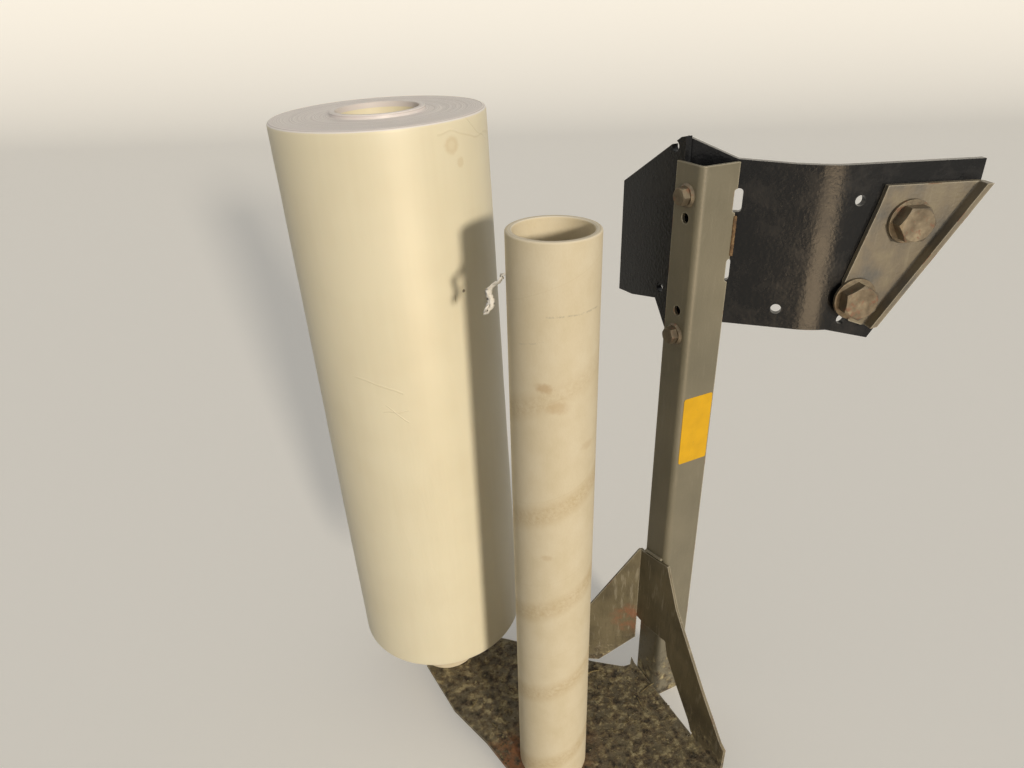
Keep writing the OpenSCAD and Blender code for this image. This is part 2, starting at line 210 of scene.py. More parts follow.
world = bpy.data.worlds.new("surround")
bpy.context.scene.world = world
world.use_nodes = True
feed(world.node_tree.nodes["Background"], {
    "Color": linear(SURROUND_COLOUR),
    "Strength": add(world.node_tree, "MapRange", {
        "Value": shown(world.node_tree), "To Min": SURROUND_LIGHT, "To Max": SURROUND_SEEN})})
bpy.context.scene.view_settings.view_transform = "Standard"

# Carrier sheets
# The tray is one folded sheet and the post a tall folded angle. Both are steel,
# cut, pressed and spray-painted, and the tray's two walls are welded to the post.
POST_TONES = ("6E6958", "797361", "847D6A")
STRAP_TONES = ("5F5D58", "7A705F", "8A8069")
TRAY_TONES = ("5A5240", "6F664F", "7E745C")
PAINT_EDGE = "C0B8A4"
DIRT = "2E281E"
SOIL_TONES = (DIRT, "5E5140", "897B5B", "BAAE89")
RUST = "7A4526"
RUST_MARKS = ((0.060, "6B4024"), (0.034, "8A5430"), (0.024, "8E6148"))
RUST_ON_BASE = (-0.470, 0.060)  # in the part's frame
RUST_ON_WALL = (-0.228, 0.122)
RUST_ON_WALL_RISE = 0.098  # over the tray's base
TRAY_THICK = 0.004
EDGE_ROUND = 0.0007
EDGE_WEAR = 0.0022
SAME_POINT = 0.000002
FLAT_WITHIN = radians(0.6)
SHARP_FROM = radians(30)
ROUND_FROM = radians(32)


def patch(mm):
    """The scale of a pattern whose patches are this many millimetres across."""
    return 1000.0 / mm


def middle_of(node):
    """The middle of a CAD node's box."""
    low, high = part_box(node)
    return (low + high) / 2


def fixed(piece, body="carrier", node=None):
    """Gives a piece its body, and hides the CAD node that it stands for."""
    if node is not None:
        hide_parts(node)
    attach(piece, body)


def dressed(node, finish, edge=EDGE_ROUND):
    """A copy of a sheet or a plate with its flats melted and its edges rounded."""
    mesh = frame["nodes"][node].data.copy()
    work = bmesh.new()
    work.from_mesh(mesh)
    bmesh.ops.remove_doubles(work, verts=work.verts, dist=SAME_POINT)
    bmesh.ops.dissolve_limit(work, angle_limit=FLAT_WITHIN, verts=work.verts, edges=work.edges)
    work.to_mesh(mesh)
    work.free()
    mesh.shade_smooth()
    mesh.set_sharp_from_angle(angle=SHARP_FROM)
    piece = place(node + "_finished", mesh, finish)
    round_off = piece.modifiers.new("rounded edges", "BEVEL")
    round_off.width = edge
    round_off.segments = 2
    round_off.limit_method = "ANGLE"
    round_off.angle_limit = ROUND_FROM
    round_off.harden_normals = True
    fixed(piece, node=node)


def spot(tree, at, centre, size, soft, grain, squeeze=(1, 1, 1)):
    """A ragged mark of a size round a point on the piece: 1 inside and 0 outside."""
    offset = add(tree, "VectorMath", (at, centre), "SUBTRACT")
    shaped = add(tree, "VectorMath", (offset, squeeze), "MULTIPLY")
    reach = add(tree, "VectorMath", (shaped,), "LENGTH")
    ragged = add(tree, "TexNoise", {"Vector": at, "Scale": 2.2 / size, "Detail": 4})
    moved = add(tree, "Math", (ragged, grain, reach), "MULTIPLY_ADD")
    rim = size + grain * 0.5
    return add(tree, "MapRange", (moved, rim + soft, rim - soft), interpolation_type="SMOOTHSTEP")


def over(tree, below, colour, share, mask):
    """Lays a colour over another where a mask is, with a greatest share."""
    amount = add(tree, "Math", (mask, share), "MULTIPLY")
    return add(tree, "Mix", {0: amount, 6: below, 7: linear(colour)}, data_type="RGBA")


def sheet_paint(name, tones, blotch, streaks, soil_top, soil_full):
    """Paint on steel sheet, with soil that thins out between two heights over the tray."""
    made, tree, shader, at = coat(name)
    # The paint is satin and clouded, with pale runs and dark ones down the sheet.
    cloud = add(tree, "TexNoise", {"Vector": at, "Scale": patch(blotch), "Detail": 5})
    paint = add(tree, "ValToRGB", (cloud,), stops=((0.30, 0.50, 0.70), tones))
    drawn_down = add(tree, "Mapping", {"Vector": at, "Scale": (1, 1, 0.15)})
    runs = add(tree, "TexNoise", {"Vector": drawn_down, "Scale": patch(6), "Detail": 3, "Roughness": 0.6})
    for colour, start, full in ((PAINT_EDGE, 0.58, 0.68), (DIRT, 0.44, 0.30)):
        run = add(tree, "MapRange", (runs, start, full))
        paint = over(tree, paint, colour, streaks, run)
    # The soil is dull and crusty, from black earth to pale dry moss.
    height = add(tree, "SeparateXYZ", (at,)).outputs["Z"]
    low = add(tree, "MapRange", (height, tray_top + soil_top, tray_top + soil_full))
    mottle = add(tree, "TexNoise", {"Vector": at, "Scale": patch(14), "Detail": 8, "Roughness": 0.7})
    reach = add(tree, "Math", (low, mottle, -0.36), "MULTIPLY_ADD")
    cover = add(tree, "MapRange", (reach, 0.0, 0.16))
    crust = add(tree, "TexNoise", {"Vector": at, "Scale": patch(13), "Detail": 7, "Roughness": 0.66})
    soil = add(tree, "ValToRGB", (crust,), stops=((0.40, 0.47, 0.54, 0.61), SOIL_TONES))
    dirty = add(tree, "Mix", {0: cover, 6: paint, 7: soil}, data_type="RGBA")
    # The edges are rubbed pale, and rusty where the paint is gone.
    worn = add(tree, "Bevel", {"Radius": EDGE_WEAR}, samples=6)
    flat = add(tree, "NewGeometry").outputs["Normal"]
    agreed = add(tree, "VectorMath", (worn, flat), "DOT_PRODUCT")
    near = add(tree, "MapRange", (agreed, 1.0, 0.86))
    chips = add(tree, "TexNoise", {"Vector": at, "Scale": patch(26), "Detail": 7, "Roughness": 0.66})
    bared = add(tree, "MapRange", (chips, 0.56, 0.62))
    bare = add(tree, "Math", (near, bared), "MULTIPLY")
    rubbed = over(tree, dirty, PAINT_EDGE, 0.75, near)
    colour = over(tree, rubbed, RUST, 0.9, bare)
    for centre, (size, tint) in zip(rust_places, RUST_MARKS):
        mark = spot(tree, at, centre, size, size * 0.4, size * 1.2)
        flaky = add(tree, "MapRange", (crust, 0.38, 0.58, 0.0, mark))
        colour = over(tree, colour, tint, 0.75, flaky)
    fine = add(tree, "TexNoise", {"Vector": at, "Scale": patch(3), "Detail": 4})
    heaped = add(tree, "Math", (cover, crust), "MULTIPLY")
    raised = add(tree, "Math", (heaped, 6.0, fine), "MULTIPLY_ADD")
    feed(shader, {
        "Base Color": colour,
        "Roughness": add(tree, "MapRange", {"Value": cover, "To Min": 0.46, "To Max": 0.88}),
        "Normal": add(tree, "Bump", {"Strength": 0.6, "Distance": 0.0006, "Height": raised})})
    return made


tray_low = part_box("tray_sheet")[0]
tray_top = tray_low.z + TRAY_THICK
core_foot = middle_of("core_peg")
roll_foot = middle_of("roll_peg")
rust_places = ((core_foot.x, core_foot.y, tray_top), (*RUST_ON_BASE, tray_top),
               (*RUST_ON_WALL, tray_top + RUST_ON_WALL_RISE))
post_paint = sheet_paint("sprayed paint on folded steel", POST_TONES, 150, 0.05, 0.30, -0.05)
strap_paint = sheet_paint("rubbed paint on a strap", STRAP_TONES, 32, 0.08, 0.30, -0.05)
tray_paint = sheet_paint("soiled paint on the tray", TRAY_TONES, 60, 0.28, 0.20, -0.02)
dressed("tray_sheet", tray_paint)
dressed("post", post_paint)
dressed("strap_plate", strap_paint)

# Bracket
# The gusset and the bent front plate are 8 mm steel with a glossy, almost black
# paint. They are bolted and welded to the post.
BRACKET_TONES = ("151618", "242323", "35312B")

# Gloss paint: dark and smooth, with the fine ripple of a sprayed coat and some dust.
bracket_paint, tree, shader, at = coat("glossy dark paint on steel plate")
dust = add(tree, "TexNoise", {"Vector": at, "Scale": patch(40), "Detail": 8, "Roughness": 0.7})
peel = add(tree, "TexNoise", {"Vector": at, "Scale": patch(4), "Detail": 2})
feed(shader, {
    "Base Color": add(tree, "ValToRGB", (dust,), stops=((0.50, 0.70, 0.85), BRACKET_TONES)),
    "Roughness": add(tree, "MapRange", (dust, 0.45, 0.80, 0.24, 0.42)),
    "Specular IOR Level": 0.3,
    "Normal": add(tree, "Bump", {"Strength": 0.36, "Distance": 0.0008, "Height": peel})})
dressed("gusset_plate", bracket_paint)
dressed("front_plate", bracket_paint)

# Frame bolts
# Two M24 hexagon bolts carry the bracket by its front plate and strap. They are
# forged steel with dull zinc and rust, and their free shanks carry rolled thread.
FRAME_BOLT_CREST = 0.01185
FRAME_BOLT_PITCH = 0.003
FRAME_BOLT_SHANK = 0.012
FRAME_BOLT_FREE = 0.048
FRAME_GRIP = 0.018
FRAME_HEAD_ACROSS = 0.036
FRAME_HEAD_HIGH = 0.015
WASHER_HALF = 0.002  # of its thickness
WASHER_ROUND = 0.0005
FRAME_BOLT_TAPER = 0.001  # cut off the radius at the tip
FRAME_BOLT_TIP = 0.0024  # length of the tapered tip
THREAD_LEAD = 0.0012  # plain root before the thread
ZINC_TONES = ("5A5042", "776D5C", "968B75")


def turned(work, profile, steps, closed=False, swell=None):
    """Turns (radius, height) points round Z. A swell changes a radius by place."""
    rings = []
    for radius, height in profile:
        ring = []
        for i in range(steps):
            angle = 2 * pi * i / steps
            r = radius + (swell(radius, height, angle) if swell else 0.0)
            ring.append(work.verts.new((r * cos(angle), r * sin(angle), height)))
        rings.append(ring)
    pairs = list(zip(rings, rings[1:]))
    if closed:
        pairs.append((rings[-1], rings[0]))
    for low, high in pairs:
        for i in range(steps):
            j = (i + 1) % steps
            work.faces.new((low[i], low[j], high[j], high[i]))
    if not closed:
        work.faces.new(list(reversed(rings[0])))
        work.faces.new(rings[-1])


def hexagon(work, across, low, high, round_low, round_high, bore=0.0):
    """A hexagon block. A cone turns the corners off the ends that say so."""
    flat = across / 2
    shoulder = flat * 0.97
    inner = bore or flat * 0.3
    rings = []
    for degrees in range(0, 360, 5):
        angle = radians(degrees)
        corner = flat / cos((angle + pi / 6) % (pi / 3) - pi / 6)
        fall = (corner - shoulder) * tan(radians(30))
        column = [(inner, low), (shoulder, low), (corner, low + fall * round_low),
                  (corner, high - fall * round_high), (shoulder, high), (inner, high)]
        rings.append([work.verts.new((r * cos(angle), r * sin(angle), z)) for r, z in column])
    for ring, after in zip(rings, rings[1:] + rings[:1]):
        for k in range(5):
            work.faces.new((ring[k], after[k], after[k + 1], ring[k + 1]))
        if bore:
            work.faces.new((ring[5], after[5], after[0], ring[0]))
    if not bore:
        work.faces.new([ring[0] for ring in reversed(rings)])
        work.faces.new([ring[5] for ring in rings])


def settled(work, name, place_at, sharp=SHARP_FROM):
    """Closes a bmesh: merges doubles, faces it outwards, puts it in its place."""
    bmesh.ops.remove_doubles(work, verts=work.verts, dist=SAME_POINT / 2)
    bmesh.ops.recalc_face_normals(work, faces=work.faces)
    mesh = poured(work, name)
    mesh.transform(place_at)
    mesh.shade_smooth()
    mesh.set_sharp_from_angle(angle=sharp)
    return mesh


def nodes_over(name, sizes):
    """An empty Geometry Nodes tree with named inputs: gives it, its inputs and its end."""
    made = bpy.data.node_groups.new(name, "GeometryNodeTree")
    made.interface.new_socket("Geometry", in_out="OUTPUT", socket_type="NodeSocketGeometry")
    for label, kind in [("Geometry", "Geometry")] + sizes:
        made.interface.new_socket(label, in_out="INPUT", socket_type="NodeSocket" + kind)
    return made, add(made, "GroupInput").outputs, add(made, "GroupOutput")


def grown(name, mesh, tree, sizes, place_at=None):
    """Runs a tree over a mesh and keeps what it makes as a plain mesh piece."""
    holder = place(name, mesh)
    modifier = holder.modifiers.new("grown", "NODES")
    modifier.node_group = tree
    for item in tree.interface.items_tree:
        if item.name in sizes:
            modifier[item.identifier] = sizes[item.name]
    bpy.context.view_layer.update()
    graph = bpy.context.evaluated_depsgraph_get()
    made = bpy.data.meshes.new_from_object(holder.evaluated_get(graph))
    holder.modifiers.clear()
    holder.data = made
    if place_at is not None:
        made.transform(place_at)
    return holder


def along(origin, direction):
    """The place of a piece whose Z runs along a direction from a point."""
    turn = Vector((0, 0, 1)).rotation_difference(direction)
    return Matrix.Translation(origin) @ turn.to_matrix().to_4x4()


# Zinc that has gone dull: brownish grey, half metallic, matt and brown where it rusts.
bolt_zinc, tree, shader, at = coat("dull zinc on forged steel")
cloud = add(tree, "TexNoise", {"Vector": at, "Scale": patch(15), "Detail": 5, "Roughness": 0.6})
zinc = add(tree, "ValToRGB", (cloud,), stops=((0.32, 0.55, 0.75), ZINC_TONES))
spots = add(tree, "TexNoise", {"Vector": at, "Scale": patch(10), "Detail": 7, "Roughness": 0.72})
rusty = add(tree, "MapRange", (spots, 0.56, 0.62))
feed(shader, {
    "Base Color": over(tree, zinc, RUST, 0.55, rusty),
    "Metallic": add(tree, "MapRange", {"Value": rusty, "To Min": 0.6, "To Max": 0.1}),
    "Roughness": add(tree, "MapRange", {"Value": cloud, "To Min": 0.38, "To Max": 0.62}),
    "Normal": add(tree, "Bump", {"Strength": 0.4, "Distance": 0.0003, "Height": spots})})

# The thread is a sharp ridge, swept along a spiral at the middle of its depth.
thread, given, out = nodes_over("rolled thread", [
    ("Pitch", "Float"), ("Crest radius", "Float"), ("Length", "Float")])
half = add(thread, "Math", (given["Pitch"], 0.5), "MULTIPLY")
turns = add(thread, "Math", (given["Length"], given["Pitch"]), "DIVIDE")
middle = add(thread, "Math", (given["Crest radius"], half), "SUBTRACT")
spiral = add(thread, "CurveSpiral", {
    "Resolution": 28, "Rotations": turns, "Start Radius": middle, "End Radius": middle,
    "Height": given["Length"]})
upright = add(thread, "SetCurveNormal", {"Curve": spiral}, mode="Z_UP")
ridge = add(thread, "CurvePrimitiveCircle", {"Resolution": 4, "Radius": half})
swept = add(thread, "CurveToMesh", {"Curve": upright, "Profile Curve": ridge, "Fill Caps": True})
finish = add(thread, "SetMaterial", {"Geometry": swept, "Material": bolt_zinc})
feed(out, {"Geometry": add(thread, "RealizeInstances", {"Geometry": finish})})


def threaded(name, pitch, crest, length, place_at):
    """A length of rolled thread on a bolt, as a piece of its own."""
    ridges = grown(name, bpy.data.meshes.new("thread"), thread, {
        "Pitch": pitch, "Crest radius": crest, "Length": length}, place_at)
    fixed(ridges)


def forged(work, node, seat):
    """Puts forged steel in its place, for a CAD node."""
    piece = place(node + "_forged", settled(work, node, seat), bolt_zinc)
    fixed(piece, node=node)


for level, clocked in (("upper", 10), ("lower", -20)):
    rearward = Vector(next(m["axis"] for m in frame["record"]["mounts"]
                           if m["name"] == "frame_bolt_" + level)).normalized()
    washer = middle_of(level + "_frame_washer")
    seat = along(washer - rearward * WASHER_HALF, rearward) @ Matrix.Rotation(
        radians(clocked), 4, "Z")
    root = FRAME_BOLT_CREST - FRAME_BOLT_PITCH / 2
    end = FRAME_GRIP + FRAME_BOLT_FREE
    work = bmesh.new()
    hexagon(work, FRAME_HEAD_ACROSS, -FRAME_HEAD_HIGH, 0.0, 1, 0)
    turned(work, [(FRAME_BOLT_SHANK, 0.0), (FRAME_BOLT_SHANK, FRAME_GRIP - FRAME_BOLT_TAPER),
                  (root, FRAME_GRIP), (root, end),
                  (root - FRAME_BOLT_TAPER, end + FRAME_BOLT_TIP)], 64)
    forged(work, level + "_frame_bolt", seat)
    threaded(level + "_frame_bolt_thread", FRAME_BOLT_PITCH, FRAME_BOLT_CREST,
             FRAME_BOLT_FREE - 0.0015, seat @ Matrix.Translation((0, 0, FRAME_GRIP + THREAD_LEAD)))
    dressed(level + "_frame_washer", bolt_zinc, WASHER_ROUND)

# Post bolts
# Two M12 flange bolts run through the post's web and the gusset, heads outboard,
# with a nut inside. They are zinc-plated and have a few rust freckles.
POST_BOLT_CREST = 0.006
POST_BOLT_PITCH = 0.00175
POST_BOLT_LONG = 0.028  # under the head
POST_BOLT_ACROSS = 0.018
POST_BOLT_FLANGE = 0.0135  # radius
POST_FLANGE_HIGH = 0.0034
POST_BOLT_TAPER = 0.0008
POST_NUT_HIGH = 0.0102

for level in ("upper", "lower"):
    low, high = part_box(level + "_post_bolt")
    head_back = high.x - POST_BOLT_LONG
    seat = along(Vector((head_back, (low.y + high.y) / 2, (low.z + high.z) / 2)), Vector((1, 0, 0)))
    root = POST_BOLT_CREST - POST_BOLT_PITCH / 2
    tip = high.x - head_back
    nut_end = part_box(level + "_post_nut")[1].x - head_back
    work = bmesh.new()
    hexagon(work, POST_BOLT_ACROSS, low.x - head_back, -0.0025, 1, 0)
    turned(work, [(0.0112, -POST_FLANGE_HIGH), (POST_BOLT_FLANGE - 0.0006, -0.0012),
                  (POST_BOLT_FLANGE, -0.0007), (POST_BOLT_FLANGE - 0.0003, 0.0)], 64)
    turned(work, [(POST_BOLT_CREST, 0.0), (POST_BOLT_CREST, nut_end - 0.004), (root, nut_end - 0.003),
                  (root, tip - POST_BOLT_TAPER), (root - POST_BOLT_TAPER, tip)], 40)
    forged(work, level + "_post_bolt", seat)
    threaded(level + "_post_bolt_thread", POST_BOLT_PITCH, POST_BOLT_CREST,
             tip - nut_end - 0.001, seat @ Matrix.Translation((0, 0, nut_end)))
    work = bmesh.new()
    hexagon(work, POST_BOLT_ACROSS, nut_end - POST_NUT_HIGH, nut_end, 1, 1, POST_BOLT_CREST + 0.0001)
    forged(work, level + "_post_nut", seat)

# Weld seams
# The tray's wall is welded to the post, the front plate to the post and to the
# gusset, and the pegs to the tray. Each seam is a row of overlapping scales.
SCALE_STEP = 0.0017
SCALE_FLAT = 0.62
TRAY_SEAM = 0.0026  # half of a seam's width
BRACKET_SEAM = 0.0024
GUSSET_SEAM = 0.0034
GUSSET_SEAM_BACK = 0.0475  # behind the post's front
GUSSET_SEAM_LOW = 0.055  # over the plate's lowest corner
SEAM_SHORT = 0.002  # left free at an end of the bracket's seam
SEAM_SUNK = 0.0012
WELD_TONES = ("4A3A2C", "7A5E40", "9B8460")

# Bare weld metal rusts first: matt, brown and finely pitted.
weld_rust, tree, shader, at = coat("rusty weld metal")
cloud = add(tree, "TexNoise", {"Vector": at, "Scale": patch(6), "Detail": 6, "Roughness": 0.7})
feed(shader, {
    "Base Color": add(tree, "ValToRGB", (cloud,), stops=((0.34, 0.52, 0.70), WELD_TONES)),
    "Roughness": 0.82,
    "Normal": add(tree, "Bump", {"Strength": 0.6, "Distance": 0.0005, "Height": cloud})})


def bead_tree(finish):
    """Scales of weld metal, laid along a path of edges."""
    made, given, out = nodes_over("weld seam", [("Step", "Float"), ("Width", "Float"), ("Seed", "Int")])
    path = add(made, "MeshToCurve", {"Mesh": given["Geometry"]})
    even = add(made, "ResampleCurve", {"Curve": path, "Length": given["Step"]}, mode="LENGTH")
    tangent = add(made, "InputTangent")
    facing = add(made, "AlignRotationToVector", {"Vector": tangent}, axis="Z")
    ball = add(made, "MeshUVSphere", {"Segments": 12, "Rings": 8, "Radius": given["Width"]})
    size = add(made, "RandomValue", {2: 0.88, 3: 1.08, "Seed": given["Seed"]}, data_type="FLOAT")
    squashed = add(made, "CombineXYZ", (size, size, SCALE_FLAT))
    laid = add(made, "InstanceOnPoints", {
        "Points": even, "Instance": ball, "Rotation": facing, "Scale": squashed})
    whole = add(made, "RealizeInstances", {"Geometry": laid})
    smooth = add(made, "SetShadeSmooth", {"Geometry": whole})
    feed(out, {"Geometry": add(made, "SetMaterial", {"Geometry": smooth, "Material": finish})})
    return made


def seam(name, points, width, tree, node=None, closed=False):
    """A weld along points in the part's frame, once round where it is closed."""
    edges = [(i, i + 1) for i in range(len(points) - 1)]
    if closed:
        edges.append((len(points) - 1, 0))
    mesh = bpy.data.meshes.new(name)
    mesh.from_pydata(points, edges, [])
    seed = len(points)
    piece = grown(name, mesh, tree, {"Step": SCALE_STEP, "Width": width, "Seed": seed})
    fixed(piece, node=node)


painted_seam = bead_tree(post_paint)
rusty_seam = bead_tree(weld_rust)
low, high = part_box("tray_weld")
x = high.x - SEAM_SUNK
seam("tray_seam", [(x, low.y, high.z - SEAM_SUNK), (x, high.y, low.z + 0.0022)],
     TRAY_SEAM, painted_seam, "tray_weld")
low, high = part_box("bracket_weld")
x, y = low.x + 0.0008, low.y + 0.0018
seam("bracket_seam", [(x, y, low.z + SEAM_SHORT), (x, y, high.z - SEAM_SHORT)],
     BRACKET_SEAM, rusty_seam, "bracket_weld")
low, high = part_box("gusset_plate")
post_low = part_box("post")[0]
x, y = high.x + 0.002, post_low.y + GUSSET_SEAM_BACK
seam("gusset_seam", [(x, y, low.z + GUSSET_SEAM_LOW), (x, y, high.z - 0.006)],
     GUSSET_SEAM, painted_seam)

# Pegs
# Each film core is slipped over a short tube that is welded upright on the tray.
# The tubes have the tray's paint, rubbed by the cores.
PEG_SEAM = 0.0022
PEG_ROUND = 0.0005

for name in ("roll_peg", "core_peg"):
    dressed(name, post_paint, PEG_ROUND)
    low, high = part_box(name)
    centre = (low + high) / 2
    radius = (high.x - low.x) / 2 + 0.001
    ring = [(centre.x + radius * cos(radians(a)), centre.y + radius * sin(radians(a)), low.z + 0.0006)
            for a in range(0, 360, 6)]
    seam(name + "_seam", ring, PEG_SEAM, painted_seam, closed=True)

# Film cores
# Both cores are thick tubes of spirally wound paperboard, slipped over the pegs. The
# empty one has bands of glue and dust where the film lay, stains and a few scuffs.
CORE_RADIUS = 0.046
CORE_HALF_LONG = 0.380
CORE_WALL = 0.007
CORE_RIM = 0.002
CORE_TONES = ("D2C4A3", "DACDB0", "E0D5BB")
CORE_PLIES = ("E0D2B4", "F3ECDC")
CORE_SEAM = "B59A6B"
CORE_BAND = "BDA579"
CORE_STAIN = "A9824E"
CORE_STAIN_PALE = "B2915F"
BAND_RISE = 0.140  # height that a band gains in one turn
BAND_WIDE = 0.028
BAND_START = radians(-121)  # heading at which its height is given
BAND_HEIGHT = 0.183 - CORE_HALF_LONG
SEAM_RISE = 0.118  # the same for the seam between two turns of board
SEAM_START = 0.4
SEAM_HEIGHT = 0.03
# Heading in degrees, height over the core's middle, size, colour and share.
CORE_STAINS = ((-131, 0.234, 0.0080, CORE_STAIN, 0.42), (-114, 0.212, 0.0105, CORE_STAIN_PALE, 0.34),
               (-128, 0.02, 0.006, CORE_STAIN_PALE, 0.25), (-70, 0.16, 0.008, CORE_STAIN_PALE, 0.22),
               (60, 0.10, 0.012, CORE_STAIN_PALE, 0.35), (120, -0.08, 0.009, CORE_STAIN, 0.35))
# Height, tilt, first and last heading in radians, colour and share.
CORE_SCUFFS = ((0.309, 0.0006, -2.24, -0.95, "8B8577", 0.38),
               (0.276, 0.012, -2.9, -2.28, "9A9283", 0.22))


def round_corner(centre_r, centre_z, radius, start):
    """Points of a quarter round, from a start angle in degrees, anticlockwise."""
    return [(centre_r + radius * cos(radians(start + i)), centre_z + radius * sin(radians(start + i)))
            for i in range(0, 91, 18)]


def own_frame(tree, at, middle, axis):
    """A round piece's own place, and its height, radius and heading as sockets."""
    turn = Vector((0, 0, 1)).rotation_difference(axis).to_euler()
    own = add(tree, "Mapping", {"Vector": at, "Location": middle, "Rotation": turn},
              vector_type="TEXTURE")
    across, aside, height = add(tree, "SeparateXYZ", {"Vector": own}).outputs
    flat = add(tree, "CombineXYZ", (across, aside))
    radius = add(tree, "VectorMath", (flat,), "LENGTH")
    heading = add(tree, "Math", (aside, across), "ARCTAN2")
    return own, height, radius, heading


def helix(tree, height, heading, rise, start_heading, start_height):
    """How far a point is from a winding line, in turns, from 0 to 0.5."""
    turned_by = add(tree, "Math", (heading, -rise / (2 * pi), height), "MULTIPLY_ADD")
    level = start_height - rise * start_heading / (2 * pi)
    share = add(tree, "Math", (turned_by, level), "SUBTRACT")
    steps = add(tree, "Math", (share, rise), "DIVIDE")
    wrapped = add(tree, "Math", (steps, 0.5, -0.5), "WRAP")
    return add(tree, "Math", (wrapped,), "ABSOLUTE")


def core_wear(tree, colour, own, height, radius, heading):
    """Lays glue bands, stains and scuffs over the paperboard of a used core."""
    far = helix(tree, height, heading, BAND_RISE, BAND_START, BAND_HEIGHT)
    speck = add(tree, "TexNoise", {"Vector": own, "Scale": patch(5), "Detail": 8, "Roughness": 0.78})
    edge = add(tree, "Math", (speck, 0.16, far), "MULTIPLY_ADD")
    half_share = BAND_WIDE / BAND_RISE / 2 + 0.08
    kept = add(tree, "MapRange", (edge, half_share + 0.035, half_share - 0.045))
    for value, start, full, least, most in (
            (height, 0.18, 0.30, 1.0, 0.0),
            (radius, CORE_RADIUS - 0.0015, CORE_RADIUS - 0.0008, 0.0, 1.0),
            (speck, 0.40, 0.62, 0.25, 1.0)):
        limit = add(tree, "MapRange", (value, start, full, least, most))
        kept = add(tree, "Math", (kept, limit), "MULTIPLY")
    colour = over(tree, colour, CORE_BAND, 0.60, kept)
    for degrees, stain_height, size, tint, share in CORE_STAINS:
        centre = (CORE_RADIUS * cos(radians(degrees)),
                  CORE_RADIUS * sin(radians(degrees)), stain_height)
        mark = spot(tree, own, centre, size, size * 0.55, size * 1.1, (1, 1, 1.7))
        colour = over(tree, colour, tint, share, mark)
    broken = add(tree, "MapRange", (speck, 0.46, 0.56))
    for line_height, tilt, first, last, tint, share in CORE_SCUFFS:
        level = add(tree, "Math", (heading, -tilt, height), "MULTIPLY_ADD")
        off = add(tree, "Math", (level, line_height - tilt * first, 0.0009), "COMPARE")
        within = add(tree, "Math", (heading, (first + last) / 2, (last - first) / 2), "COMPARE")
        line = add(tree, "Math", (off, within), "MULTIPLY")
        line = add(tree, "Math", (line, broken), "MULTIPLY")
        colour = over(tree, colour, tint, share, line)
    return colour


def board(name, middle, axis, used):
    """Spirally wound paperboard: matt and fibrous, with a faint seam and plies at its ends."""
    made, tree, shader, at = coat(name)
    own, height, radius, heading = own_frame(tree, at, middle, axis)
    fibres = add(tree, "Mapping", {"Vector": own, "Scale": (1, 1, 0.7)})
    fine = add(tree, "TexNoise", {"Vector": fibres, "Scale": patch(1.6), "Detail": 4, "Roughness": 0.6})
    cloud = add(tree, "TexNoise", {"Vector": fibres, "Scale": patch(26), "Detail": 5, "Roughness": 0.6})
    both = add(tree, "Mix", {0: 0.25, 2: cloud, 3: fine})
    colour = add(tree, "ValToRGB", (both,), stops=((0.25, 0.50, 0.75), CORE_TONES))
    seam_far = helix(tree, height, heading, SEAM_RISE, SEAM_START, SEAM_HEIGHT)
    groove = add(tree, "MapRange", (seam_far, 0.007, 0.002))
    colour = over(tree, colour, CORE_SEAM, 0.08, groove)
    # The plies are about half a millimetre thick, and are drawn coarser, to show.
    plies = add(tree, "TexNoise", {"W": radius, "Scale": patch(0.9), "Detail": 2},
                noise_dimensions="1D")
    layered = add(tree, "ValToRGB", (plies,), stops=((0.40, 0.60), CORE_PLIES))
    from_middle = add(tree, "Math", (height,), "ABSOLUTE")
    at_end = add(tree, "MapRange", (from_middle, CORE_HALF_LONG - 0.0018, CORE_HALF_LONG - 0.0008))
    colour = add(tree, "Mix", {0: at_end, 6: colour, 7: layered}, data_type="RGBA")
    if used:
        colour = core_wear(tree, colour, own, height, radius, heading)
    relief = add(tree, "Mix", {0: groove, 2: fine, 3: 0.0})
    feed(shader, {
        "Base Color": colour,
        "Roughness": 0.72,
        "Normal": add(tree, "Bump", {"Strength": 0.35, "Distance": 0.0004, "Height": relief})})
    return made


lift = next(joint for joint in frame["joints"] if joint["name"] == "film_roll_lift")
roll_axis = Vector(lift["axis"]).normalized()
bore = CORE_RADIUS - CORE_WALL
top = CORE_HALF_LONG - CORE_RIM
column = [i * CORE_HALF_LONG / 8 for i in range(-7, 8)]
profile = (round_corner(CORE_RADIUS - CORE_RIM, top, CORE_RIM, 0)
           + round_corner(bore + CORE_RIM, top, CORE_RIM, 90)
           + [(bore, -height) for height in column]
           + round_corner(bore + CORE_RIM, -top, CORE_RIM, 180)
           + round_corner(CORE_RADIUS - CORE_RIM, -top, CORE_RIM, 270)
           + [(CORE_RADIUS, height) for height in column])
for node, body, axis, used in (("empty_core", "spare_core", Vector((0, 0, 1)), True),
                               ("roll_core", "film_roll", roll_axis, False)):
    middle = middle_of(node)
    paperboard = board("used paperboard core" if used else "clean paperboard core", middle, axis, used)
    work = bmesh.new()
    turned(work, profile, 96, closed=True)
    tube = settled(work, node + "_tube", along(middle, axis), radians(40))
    fixed(place(node + "_tube", tube, paperboard), body, node)
